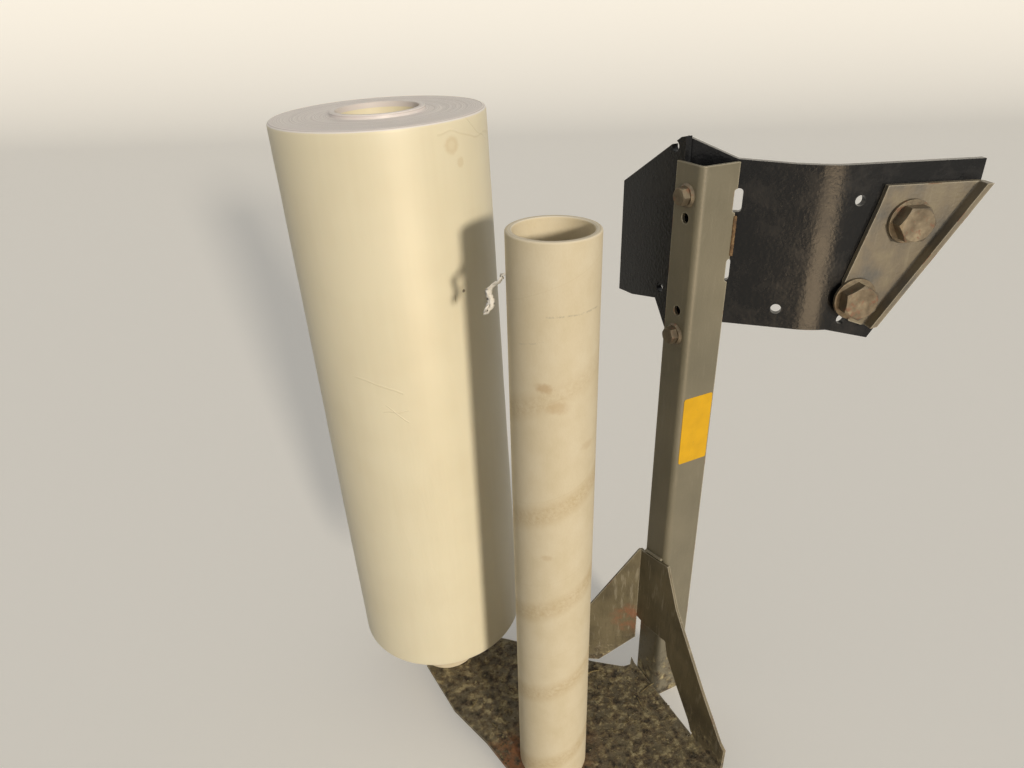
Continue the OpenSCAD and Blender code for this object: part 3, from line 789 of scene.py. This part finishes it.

# Film roll
# A full roll of white stretch film, wound tight on its core. The film is soft
# and slightly glossy. Its ends show the layers as fine rings, a few of them proud.
# The side's cream is partly painted warm sunlight; the ends' pale lilac, and their lift over the side, are painted
# sky light.
FILM_TONES_AND_SUN_WARMTH = ("E8DEC1", "EDE4C8")
FILM_END_RINGS_AND_SKY_LIGHT = ("D3CAC8", "EDE7E5", "F8F4F0")
FILM_STAIN = "C9AE7C"
FILM_STAIN_GREY = "A08A62"
FILM_CUT = "5C4C3A"
# The darker tan of the creases is painted shade in them.
FILM_CREASE_SHADE = "C5B48F"
FILM_BORE = 0.0461
ROLL_RADIUS = 0.120
ROLL_HALF = 0.374
ROLL_EDGE = 0.004
RING_WIDE = 0.007  # the proud ring of film next to the core
RING_HIGH = 0.004
TAIL_STEP = 0.0004  # thickness of the loose outer turn
TAIL_HEADING = radians(48)
END_RINGS = 46
SIDE_ROWS = 60
TENSION_BANDS = 40
FILM_FOOT = -0.467  # the core's foot, from the winding's middle
CREASE_SWAY = 0.06  # metres over which a crease can stray
# Heading in degrees and height over the core's foot.
RING_STAIN = (-71, 0.816)
FILM_CRUMPLE = (-112, 0.31)
# The same, with size, colour, share and squeeze.
FILM_MARKS = ((-71.6, 0.658, 0.0019, FILM_CUT, 0.85, (1, 1, 1)),
              (-77.5, 0.652, 0.0030, FILM_STAIN_GREY, 0.50, (4, 4, 0.5)),
              (-66.0, 0.797, 0.0050, FILM_STAIN, 0.25, (1, 1, 1)),
              (20.0, 0.50, 0.0110, FILM_STAIN, 0.35, (1, 1, 1.6)),
              (95.0, 0.30, 0.0080, FILM_STAIN_GREY, 0.35, (1, 1, 0.7)),
              (165.0, 0.62, 0.0060, FILM_STAIN, 0.45, (1, 1, 1)))
# First and last heading in degrees, their heights over the core's foot, and width.
FILM_CREASES = ((-140, -113, 0.570, 0.553, 0.0011), (-79, -33, 0.829, 0.815, 0.0009),
                (-60, -36, 0.836, 0.808, 0.0008), (-126, -111, 0.520, 0.530, 0.0008),
                (-124, -112, 0.531, 0.515, 0.0008), (70, 110, 0.40, 0.44, 0.0010))

draw = random.Random(4)
film_middle = middle_of("film_winding")
shoulder = ROLL_HALF - ROLL_EDGE
ring_out = FILM_BORE + RING_WIDE
ring_up = ROLL_HALF + RING_HIGH
end_heights = [-0.0002]
while len(end_heights) < END_RINGS:
    end_heights.append(min(-0.00005, max(-0.0011, end_heights[-1] + draw.uniform(-0.0004, 0.0004))))
end_step = (ROLL_RADIUS - ROLL_EDGE - ring_out - 0.0016) / (END_RINGS - 1)
end_face = [(ring_out + 0.0008 + end_step * i, ROLL_HALF + h) for i, h in enumerate(end_heights)]
proud_ring = [(FILM_BORE, ring_up - 0.0007), (FILM_BORE + 0.0007, ring_up),
              (ring_out - 0.0016, ring_up), (ring_out - 0.0004, ring_up - 0.0011),
              (ring_out, ROLL_HALF - 0.0002)]
upper_edge = [(r - TAIL_STEP, z) for r, z in reversed(round_corner(
    ROLL_RADIUS - ROLL_EDGE, shoulder, ROLL_EDGE, 0))]
side = [(ROLL_RADIUS - TAIL_STEP, shoulder - 2 * shoulder * i / SIDE_ROWS) for i in range(1, SIDE_ROWS)]
upper_half = proud_ring + end_face + upper_edge
lower_half = [(r, -z) for r, z in reversed(upper_half)]
bands = [draw.uniform(-1, 1) for _ in range(TENSION_BANDS)]


def film_swell(radius, height, angle):
    """Soft bands of winding tension, and the step of the loose outer turn."""
    if radius < ROLL_RADIUS - ROLL_EDGE:
        return 0.0
    where = (height / ROLL_HALF + 1) / 2 * (len(bands) - 1)
    k = min(int(where), len(bands) - 2)
    band = bands[k] + (bands[k + 1] - bands[k]) * (where - k)
    turn = (angle - TAIL_HEADING - 0.02 * sin(height * 41)) % (2 * pi)
    wave = sin(3 * angle + height * 9) * 0.00008
    return -0.00012 + 0.00010 * band + wave + TAIL_STEP * turn / (2 * pi) * 0.85


def film_point(degrees, rise):
    """A point on the film's side, by heading and height over the core's foot."""
    angle = radians(degrees)
    return (ROLL_RADIUS * cos(angle), ROLL_RADIUS * sin(angle), rise + FILM_FOOT)


work = bmesh.new()
turned(work, upper_half + side + lower_half, 216, closed=True, swell=film_swell)
film_mesh = settled(work, "stretch film", along(film_middle, roll_axis), radians(28))

# Stretch film: white and faintly translucent, with a soft gloss, upright streaks and creases. Its side's cream
# tint is partly painted warm sunlight.
# Its cut ends are matt, and ringed by the edges of the layers; their pale lilac tint and their lift over the side
# are painted sky light.
film_coat, tree, shader, at = coat("white stretch film")
own, height, radius, heading = own_frame(tree, at, film_middle, roll_axis)
drawn = add(tree, "Mapping", {"Vector": own, "Scale": (1, 1, 0.05)})
streak = add(tree, "TexNoise", {"Vector": drawn, "Scale": patch(9), "Detail": 4})
cloud = add(tree, "TexNoise", {"Vector": own, "Scale": patch(120), "Detail": 3})
both = add(tree, "Mix", {0: 0.2, 2: cloud, 3: streak})
# The side's cream tint is partly painted warm sunlight.
side_streaks_and_sun_warmth = add(tree, "ValToRGB", (both,), stops=((0.36, 0.56), FILM_TONES_AND_SUN_WARMTH))
# The layers are a few hundredths of a millimetre thick, and are drawn coarser, to show.
layer = add(tree, "TexNoise", {
    "W": radius, "Scale": patch(1.3), "Detail": 5, "Roughness": 0.75}, noise_dimensions="1D")
# The rings are the layers; the ends' pale lilac tint and their lift over the side are painted sky light.
end_rings_and_sky_light = add(tree, "ValToRGB", (layer,), stops=((0.34, 0.50, 0.66), FILM_END_RINGS_AND_SKY_LIGHT))
from_middle = add(tree, "Math", (height,), "ABSOLUTE")
at_end = add(tree, "MapRange", (from_middle, ROLL_HALF - 0.0026, ROLL_HALF - 0.0018))
colour = add(tree, "Mix", {0: at_end, 6: side_streaks_and_sun_warmth, 7: end_rings_and_sky_light}, data_type="RGBA")
outer = spot(tree, own, film_point(*RING_STAIN), 0.0085, 0.0030, 0.004)
inner = spot(tree, own, film_point(*RING_STAIN), 0.0045, 0.0022, 0.003)
ring = add(tree, "Math", (outer, inner), "SUBTRACT", use_clamp=True)
colour = over(tree, colour, FILM_STAIN, 0.18, ring)
colour = over(tree, colour, FILM_STAIN, 0.20, outer)
for degrees, rise, size, tint, share, squeeze in FILM_MARKS:
    mark = spot(tree, own, film_point(degrees, rise), size, size * 0.3, size * 0.8, squeeze)
    colour = over(tree, colour, tint, share, mark)
lifted = add(tree, "Math", (height, CREASE_SWAY / 2), "ADD")
raised = add(tree, "Math", (streak, 0.06), "MULTIPLY")
column = spot(tree, own, film_point(*FILM_CRUMPLE), 0.045, 0.02, 0.02, (1, 1, 0.26))
crinkle = add(tree, "TexNoise", {
    "Vector": add(tree, "Mapping", {"Vector": own, "Scale": (1, 1, 0.3)}),
    "Scale": patch(12), "Detail": 6, "Roughness": 0.7, "Distortion": 1.2})
wrinkled = add(tree, "Math", (crinkle, column), "MULTIPLY")
raised = add(tree, "Math", (raised, wrinkled), "ADD")
for start, end, rise_start, rise_end, wide in FILM_CREASES:
    track = add(tree, "MapRange", (heading, radians(start), radians(end),
                                   rise_start + FILM_FOOT, rise_end + FILM_FOOT))
    sway = add(tree, "Math", (cloud, CREASE_SWAY, track), "MULTIPLY_ADD")
    gap = add(tree, "Math", (lifted, sway), "SUBTRACT")
    off = add(tree, "Math", (gap,), "ABSOLUTE")
    on_line = add(tree, "MapRange", (off, wide * 1.6, wide * 0.2))
    centre, reach = radians((start + end) / 2), radians((end - start) / 2)
    within = add(tree, "Math", (heading, centre, reach), "COMPARE")
    crease = add(tree, "Math", (on_line, within), "MULTIPLY")
    raised = add(tree, "Math", (raised, crease), "ADD")
    # Each crease is also darkened in colour along its line: painted shade, over its bump.
    colour = over(tree, colour, FILM_CREASE_SHADE, 0.10, crease)
relief = add(tree, "Mix", {0: at_end, 2: raised, 3: layer})
feed(shader, {
    "Base Color": colour,
    "Roughness": 0.42,
    "IOR": 1.49,
    "Subsurface Weight": 0.06,
    "Subsurface Radius": (0.004, 0.003, 0.002),
    "Normal": add(tree, "Bump", {"Strength": 0.45, "Distance": 0.0007, "Height": relief})})
fixed(place("film_roll_winding", film_mesh, film_coat), "film_roll", "film_winding")

# Film scrap
# A torn end of film, thin and crumpled, is left hanging from the empty core's
# side where the last turn was pulled off.
SCRAP_TONES = ("DCD8D0", "F5F2EC")
SCRAP_LONG = 0.046
SCRAP_WIDE = 0.011
SCRAP_THICK = 0.00025
SCRAP_HEADING = radians(160)
SCRAP_RISE = 0.338  # height of its upper end over the core's middle
SCRAP_TURN = 0.9  # how far its lower end twists, in radians
SCRAP_ROWS = 24
SCRAP_COLUMNS = 8

# A torn edge of film turns whiter and glossier than the wound roll.
scrap_coat, tree, shader, at = coat("torn stretch film")
folds = add(tree, "TexNoise", {"Vector": at, "Scale": patch(4), "Detail": 5, "Distortion": 1.0})
feed(shader, {
    "Base Color": add(tree, "ValToRGB", (folds,), stops=((0.33, 0.56), SCRAP_TONES)),
    "Roughness": 0.3,
    "Normal": add(tree, "Bump", {"Strength": 0.7, "Distance": 0.0006, "Height": folds})})
core_middle = middle_of("empty_core")
outward = Vector((cos(SCRAP_HEADING), sin(SCRAP_HEADING), 0))
sideways = Vector((-outward.y, outward.x, 0))
work = bmesh.new()
grid = []
for i in range(SCRAP_ROWS + 1):
    # It leaves the core's side, sags, narrows and twists, and small waves crumple it.
    t = i / SCRAP_ROWS
    away = 0.0008 + 0.018 * sin(t * 2.0) * t + 0.0025 * sin(t * 13)
    drop = SCRAP_LONG * (0.1 * t + 0.85 * t * t)
    width = SCRAP_WIDE * (1.0 - 0.55 * t) * (1 + 0.10 * sin(t * 21))
    middle = (core_middle + outward * (CORE_RADIUS + away) - sideways * 0.012 * t
              + Vector((0, 0, SCRAP_RISE - drop)))
    row = []
    for j in range(SCRAP_COLUMNS + 1):
        s = j / SCRAP_COLUMNS - 0.5
        curl = 0.0028 * sin(s * 7 + t * 9) * t + 0.0010 * sin(s * 19 + t * 31)
        row.append(work.verts.new(
            middle + sideways * width * s * cos(SCRAP_TURN * t)
            + outward * (width * (s + 0.5) * sin(SCRAP_TURN * t) + max(curl, -away + 0.0006))
            + Vector((0, 0, 0.004 * s + 0.0012 * sin(t * 40 + j)))))
    grid.append(row)
for low_row, high_row in zip(grid, grid[1:]):
    for j in range(SCRAP_COLUMNS):
        work.faces.new((low_row[j], low_row[j + 1], high_row[j + 1], high_row[j]))
scrap = place("film_scrap", poured(work, "film scrap"), scrap_coat)
scrap.data.shade_smooth()
thicker = scrap.modifiers.new("thickness", "SOLIDIFY")
thicker.thickness = SCRAP_THICK
thicker.offset = 1.0
fixed(scrap, "spare_core")

# Blank label
# A yellow vinyl label sticks to the post's front. It is blank, its corners are
# round, and it is scratched and a little faded.
LABEL_LOW = Vector((0.0055, 0, 0.411))  # from the post's outer front corner at the tray
LABEL_HIGH = Vector((0.0495, 0, 0.507))
LABEL_THICK = 0.0003
LABEL_CORNER = 0.003
LABEL_TONES = ("DFAB0E", "E8B410")
LABEL_SCRATCH = "8F7A3C"

# Vinyl: an even strong yellow with a soft gloss, and fine upright scratches.
label_coat, tree, shader, at = coat("yellow vinyl")
fade = add(tree, "TexNoise", {"Vector": at, "Scale": patch(22), "Detail": 4})
tint = add(tree, "ValToRGB", (fade,), stops=((0.35, 0.6), LABEL_TONES))
scratch = add(tree, "TexNoise", {
    "Vector": add(tree, "Mapping", {"Vector": at, "Scale": (1, 1, 0.12)}),
    "Scale": patch(1.2), "Detail": 6, "Roughness": 0.7})
marks = add(tree, "MapRange", (scratch, 0.62, 0.70))
feed(shader, {"Base Color": over(tree, tint, LABEL_SCRATCH, 0.6, marks), "Roughness": 0.38})
post_corner = Vector((post_low.x, post_low.y, tray_top))
low, high = post_corner + LABEL_LOW, post_corner + LABEL_HIGH
outline = []
for x, z, side_x, side_z, start in ((high.x, high.z, -1, -1, 0), (low.x, high.z, 1, -1, 90),
                                    (low.x, low.z, 1, 1, 180), (high.x, low.z, -1, 1, 270)):
    outline += round_corner(x + side_x * LABEL_CORNER, z + side_z * LABEL_CORNER, LABEL_CORNER, start)
work = bmesh.new()
front_face = work.faces.new([work.verts.new((x, low.y - LABEL_THICK, z)) for x, z in outline])
back = bmesh.ops.extrude_face_region(work, geom=[front_face])["geom"]
bmesh.ops.translate(work, verts=[v for v in back if isinstance(v, bmesh.types.BMVert)],
                    vec=(0, LABEL_THICK, 0))
label = place("blank_label", settled(work, "label", Matrix.Identity(4)), label_coat)
fixed(label)

# Crumbs and straw
# Hay, bark crumbs and dry moss lie on the tray, loose round the cores' feet.
CRUMB_SIZE = 0.0019
CRUMB_TONES = ("3A3226", "6A5E42", "9C9270")
STRAW_LONG = 0.034
STRAW_THICK = 0.0006
STRAW_SHARE = 0.018
STRAW_TONES = ("7F7048", "B5A374")
LITTER_DENSITY = 9000.0  # crumbs a square metre
LITTER_FROM_EDGE = 0.036
LITTER_FROM_CORE = 0.052
STRAW_BOW = 0.06  # share of its length by which a straw bends


def loose_coat(name, mm, detail, rough_noise, stops, roughness):
    """Dry plant matter: fully matt, and clouded from piece to piece."""
    made, tree, shader, at = coat(name)
    kind = add(tree, "TexNoise", {
        "Vector": at, "Scale": patch(mm), "Detail": detail, "Roughness": rough_noise})
    feed(shader, {"Base Color": add(tree, "ValToRGB", (kind,), stops=stops), "Roughness": roughness})
    return made


crumb_coat = loose_coat("dry moss and earth crumbs", 20, 6.0, 0.7,
                        ((0.38, 0.50, 0.62), CRUMB_TONES), 0.95)
straw_coat = loose_coat("dry straw", 16, 2.0, 0.5, ((0.38, 0.60), STRAW_TONES), 0.7)

work = bmesh.new()
work.from_mesh(frame["nodes"]["tray_sheet"].data)
bmesh.ops.remove_doubles(work, verts=work.verts, dist=SAME_POINT)
elsewhere = [f for f in work.faces
             if f.normal.z < 0.99 or abs(f.calc_center_median().z - tray_top) > 0.0005]
bmesh.ops.delete(work, geom=elsewhere, context="FACES")

litter, given, out = nodes_over("litter on a plate", [
    ("Density", "Float"), ("Crumb", "Float"), ("Straw", "Float"), ("Straw thickness", "Float"),
    ("Empty core", "Vector"), ("Roll", "Vector"), ("Low", "Vector"), ("Clear", "Float"),
    ("Seed", "Int")])
here = add(litter, "InputPosition")
tests = []
for core in ("Empty core", "Roll"):
    reach = add(litter, "VectorMath", (here, given[core]), "DISTANCE")
    tests.append(add(litter, "Compare", (reach, given["Clear"]), "GREATER_THAN"))
place_of = add(litter, "SeparateXYZ", (here,)).outputs
edge_of = add(litter, "SeparateXYZ", (given["Low"],)).outputs
for axis in ("X", "Y"):
    tests.append(add(litter, "Compare", (place_of[axis], edge_of[axis]), "GREATER_THAN"))
kept_clear = tests[0]
for test in tests[1:]:
    kept_clear = add(litter, "BooleanMath", (kept_clear, test), "AND")
crumb = add(litter, "MeshIcoSphere", {"Radius": given["Crumb"], "Subdivisions": 1})
arch = add(litter, "Math", (given["Straw"], STRAW_BOW), "MULTIPLY")
halfway = add(litter, "Math", (given["Straw"], 0.5), "MULTIPLY")
stalk = add(litter, "CurveQuadraticBezier", {
    "Resolution": 5, "Start": (0, 0, 0),
    "Middle": add(litter, "CombineXYZ", (halfway, arch, given["Straw thickness"])),
    "End": add(litter, "CombineXYZ", (given["Straw"],))})
section = add(litter, "CurvePrimitiveCircle", {"Resolution": 5, "Radius": given["Straw thickness"]})
straw = add(litter, "CurveToMesh", {"Curve": stalk, "Profile Curve": section, "Fill Caps": True})
joined = add(litter, "JoinGeometry")
for shape, share, finish, least, most, tip_low, tip_high, seed in (
        (crumb, 1.0, crumb_coat, (0.25, 0.25, 0.15), (1.5, 1.1, 0.7),
         (-0.3, -0.3, 0.0), (0.3, 0.3, 6.28), 3),
        (straw, STRAW_SHARE, straw_coat, (0.35, 0.6, 1.0), (1.0, 1.4, 1.5),
         (0, -0.06, 0.0), (0, 0.02, 6.28), 8)):
    spread = add(litter, "Math", (given["Density"], share), "MULTIPLY")
    points = add(litter, "DistributePointsOnFaces", {
        "Mesh": given["Geometry"], "Density": spread, "Seed": given["Seed"]})
    spin = add(litter, "RandomValue", {0: tip_low, 1: tip_high, "Seed": seed}, data_type="FLOAT_VECTOR")
    sizes = add(litter, "RandomValue", {0: least, 1: most, "Seed": 5}, data_type="FLOAT_VECTOR")
    laid = add(litter, "InstanceOnPoints", {
        "Points": points, "Selection": kept_clear, "Instance": shape, "Rotation": spin, "Scale": sizes})
    whole = add(litter, "RealizeInstances", {"Geometry": laid})
    feed(joined, {0: add(litter, "SetMaterial", {"Geometry": whole, "Material": finish})})
feed(out, {"Geometry": joined})
scattered = grown("litter", poured(work, "tray base"), litter, {
    "Density": LITTER_DENSITY, "Crumb": CRUMB_SIZE, "Straw": STRAW_LONG,
    "Straw thickness": STRAW_THICK, "Empty core": rust_places[0],
    "Roll": (roll_foot.x, roll_foot.y, tray_top),
    "Low": (tray_low.x + LITTER_FROM_EDGE, tray_low.y + LITTER_FROM_EDGE, 0),
    "Clear": LITTER_FROM_CORE, "Seed": 11})
fixed(scattered)
